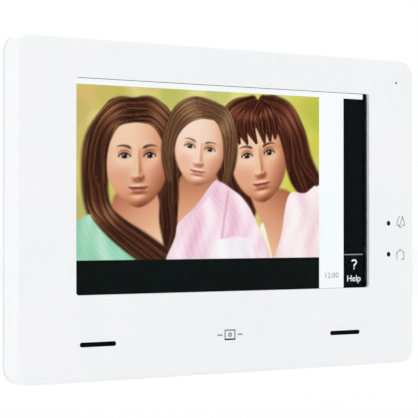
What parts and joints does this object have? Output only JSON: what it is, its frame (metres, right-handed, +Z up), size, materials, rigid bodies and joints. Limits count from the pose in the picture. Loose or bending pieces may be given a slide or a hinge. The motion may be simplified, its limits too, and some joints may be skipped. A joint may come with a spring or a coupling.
{
  "type": "video intercom monitor",
  "caption": "Wall-mounted indoor video intercom monitor with a seven-inch touch display, sound slots, indicator lamps and a hook-on steel wall plate.",
  "frame": {"origin": "middle of the wall plate's back face, at the centre of its flush-box screw pattern; the wall is the plane y = 0", "axes": "+Z up, +X to the right seen from the front, +Y into the wall, so the display faces -Y"},
  "size_m": [0.21, 0.024, 0.136],
  "materials": {
    "casing_white": "smooth satin-gloss moulded ABS",
    "galvanised_steel": "zinc-plated pressed sheet",
    "pressed_steel": "pressed sheet",
    "screw_steel": "zinc-plated",
    "foam_black": "closed-cell foam",
    "touch_glass": "clear gloss",
    "display_glass": "lit liquid-crystal panel behind polariser",
    "diffuser_film": "matt film",
    "acrylic": "polished acrylic",
    "lamp_bar": "lamps on a narrow board",
    "tray_white": "moulded polycarbonate",
    "ribbon_amber": "polyimide film",
    "board_green": "solder mask on fibreglass",
    "chip_black": "moulded epoxy",
    "ferrite": "sintered ferrite",
    "capacitor_sleeve": "shrink sleeve",
    "crystal_can": "drawn can",
    "passive_ceramic": "fired ceramic",
    "socket_cream": "moulded nylon",
    "terminal_green": "moulded polyamide",
    "clamp_metal": "nickel-plated brass",
    "switch_red": "moulded polyamide",
    "lever_white": "moulded acetal",
    "speaker_basket": "moulded basket",
    "speaker_film": "formed film",
    "magnet_cup": "nickel-plated cup",
    "mesh_black": "woven acoustic cloth",
    "microphone_can": "drawn can",
    "lens_smoke": "smoked acrylic",
    "lead_red": "PVC insulation",
    "lead_blue": "PVC insulation",
    "lead_grey": "PVC insulation",
    "label_silver": "blank polyester label"
  },
  "bodies": {
    "wall_mount": {"wall_plate": "galvanised_steel"},
    "monitor": {"front_cover": "casing_white", "rear_cover": "casing_white", "display_bracket": "pressed_steel", "lcd_bezel": "pressed_steel", "bracket_screws": "screw_steel", "board_screws": "screw_steel", "indicator_screws": "screw_steel", "casing_screws": "screw_steel", "touch_gasket": "foam_black", "speaker_gasket_left": "foam_black", "speaker_gasket_right": "foam_black", "microphone_boot": "foam_black", "touch_panel": "touch_glass", "lcd_panel": "display_glass", "lcd_diffuser": "diffuser_film", "lcd_light_guide": "acrylic", "lcd_lamp_bar": "lamp_bar", "indicator_lamps": "lamp_bar", "lcd_tray": "tray_white", "touch_ribbon": "ribbon_amber", "lcd_ribbon": "ribbon_amber", "main_board": "board_green", "indicator_board": "board_green", "processor": "chip_black", "memory_chips": "chip_black", "support_chips": "chip_black", "bus_transformer": "ferrite", "power_coils": "ferrite", "capacitors": "capacitor_sleeve", "crystal": "crystal_can", "board_passives": "passive_ceramic", "lead_sockets": "socket_cream", "ribbon_sockets": "socket_cream", "terminal_block": "terminal_green", "terminal_cages": "clamp_metal", "terminal_screws": "clamp_metal", "dip_housing": "switch_red", "speaker_frame_left": "speaker_basket", "speaker_frame_right": "speaker_basket", "speaker_cone_left": "speaker_film", "speaker_cone_right": "speaker_film", "speaker_magnet_left": "magnet_cup", "speaker_magnet_right": "magnet_cup", "slot_mesh_left": "mesh_black", "slot_mesh_right": "mesh_black", "microphone": "microphone_can", "lamp_lenses": "lens_smoke", "speaker_leads": "lead_red", "indicator_leads": "lead_blue", "microphone_leads": "lead_grey", "rating_label": "label_silver"},
    "code_lever_1": {"dip_lever_1": "lever_white"},
    "code_lever_2": {"dip_lever_2": "lever_white"},
    "code_lever_3": {"dip_lever_3": "lever_white"},
    "code_lever_4": {"dip_lever_4": "lever_white"},
    "code_lever_5": {"dip_lever_5": "lever_white"},
    "code_lever_6": {"dip_lever_6": "lever_white"},
    "code_lever_7": {"dip_lever_7": "lever_white"},
    "code_lever_8": {"dip_lever_8": "lever_white"}
  },
  "joints": [
    {"name": "monitor_lift", "type": "slide", "parent": "wall_mount", "child": "monitor", "axis": [0, 0, 1], "range_m": [0, 0.007]},
    {"name": "lever_slide_1", "type": "slide", "parent": "monitor", "child": "code_lever_1", "axis": [0, 0, 1], "range_m": [0, 0.0014]},
    {"name": "lever_slide_2", "type": "slide", "parent": "monitor", "child": "code_lever_2", "axis": [0, 0, 1], "range_m": [0, 0.0014]},
    {"name": "lever_slide_3", "type": "slide", "parent": "monitor", "child": "code_lever_3", "axis": [0, 0, 1], "range_m": [0, 0.0014]},
    {"name": "lever_slide_4", "type": "slide", "parent": "monitor", "child": "code_lever_4", "axis": [0, 0, 1], "range_m": [0, 0.0014]},
    {"name": "lever_slide_5", "type": "slide", "parent": "monitor", "child": "code_lever_5", "axis": [0, 0, 1], "range_m": [0, 0.0014]},
    {"name": "lever_slide_6", "type": "slide", "parent": "monitor", "child": "code_lever_6", "axis": [0, 0, 1], "range_m": [0, 0.0014]},
    {"name": "lever_slide_7", "type": "slide", "parent": "monitor", "child": "code_lever_7", "axis": [0, 0, 1], "range_m": [0, 0.0014]},
    {"name": "lever_slide_8", "type": "slide", "parent": "monitor", "child": "code_lever_8", "axis": [0, 0, 1], "range_m": [0, 0.0014]}
  ]
}
